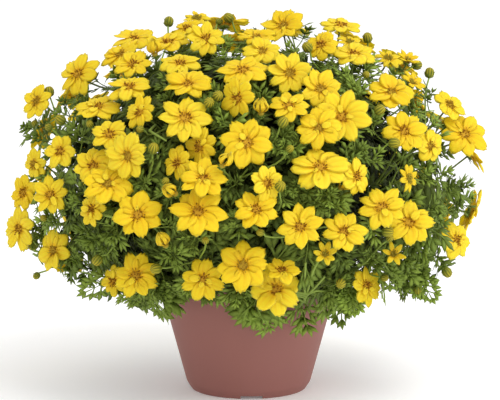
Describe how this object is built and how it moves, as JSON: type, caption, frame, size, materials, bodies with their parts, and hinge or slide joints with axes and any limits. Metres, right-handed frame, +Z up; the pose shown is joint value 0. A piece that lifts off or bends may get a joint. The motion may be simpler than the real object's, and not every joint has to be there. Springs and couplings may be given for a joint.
{
  "type": "potted flowering plant",
  "caption": "Round bushy bidens plant with ferny leaves and yellow blooms over a small tapered nursery pot.",
  "frame": {"origin": "middle of the pot's footprint, on the surface that it stands on", "axes": "+Z up along the pot's axis, -Y towards the viewer of the picture, +X to that viewer's right"},
  "size_m": [0.3497, 0.3485, 0.2781],
  "materials": {
    "pot": "matte moulded nursery-pot plastic, dusky terracotta",
    "soil": "moist dark potting mix, rough and crumbly",
    "foliage": "soft matte mid-green leaves and stems",
    "petals": "matte saturated yellow petals with a faint sheen"
  },
  "bodies": {
    "root": {"pot": "pot", "soil": "soil", "leafy_stem_01": "foliage", "leafy_stem_02": "foliage", "leafy_stem_03": "foliage", "leafy_stem_04": "foliage", "leafy_stem_05": "foliage", "leafy_stem_06": "foliage", "leafy_stem_07": "foliage", "leafy_stem_08": "foliage", "leafy_stem_09": "foliage", "leafy_stem_10": "foliage", "leafy_stem_11": "foliage", "leafy_stem_12": "foliage", "leafy_stem_13": "foliage", "leafy_stem_14": "foliage", "bloom_spray_01": "petals", "bloom_spray_02": "petals", "bloom_spray_03": "petals", "bloom_spray_04": "petals", "bloom_spray_05": "petals", "bloom_spray_06": "petals", "bloom_spray_07": "petals", "bloom_spray_08": "petals", "bloom_spray_09": "petals", "bloom_spray_10": "petals", "bloom_spray_11": "petals", "bloom_spray_12": "petals", "bloom_spray_13": "petals", "bloom_spray_14": "petals", "bloom_spray_15": "petals", "bloom_spray_16": "petals", "bloom_spray_17": "petals", "bloom_spray_18": "petals", "bloom_spray_19": "petals", "bloom_spray_20": "petals", "bloom_spray_21": "petals", "bloom_spray_22": "petals", "bloom_spray_23": "petals", "bloom_spray_24": "petals", "bloom_spray_25": "petals", "bloom_spray_26": "petals", "bloom_spray_27": "petals", "bloom_spray_28": "petals", "bloom_spray_29": "petals", "bloom_spray_30": "petals", "bloom_spray_31": "petals", "bloom_spray_32": "petals", "bloom_spray_33": "petals", "bloom_spray_34": "petals", "bloom_spray_35": "petals", "bloom_spray_36": "petals"}
  },
  "joints": []
}
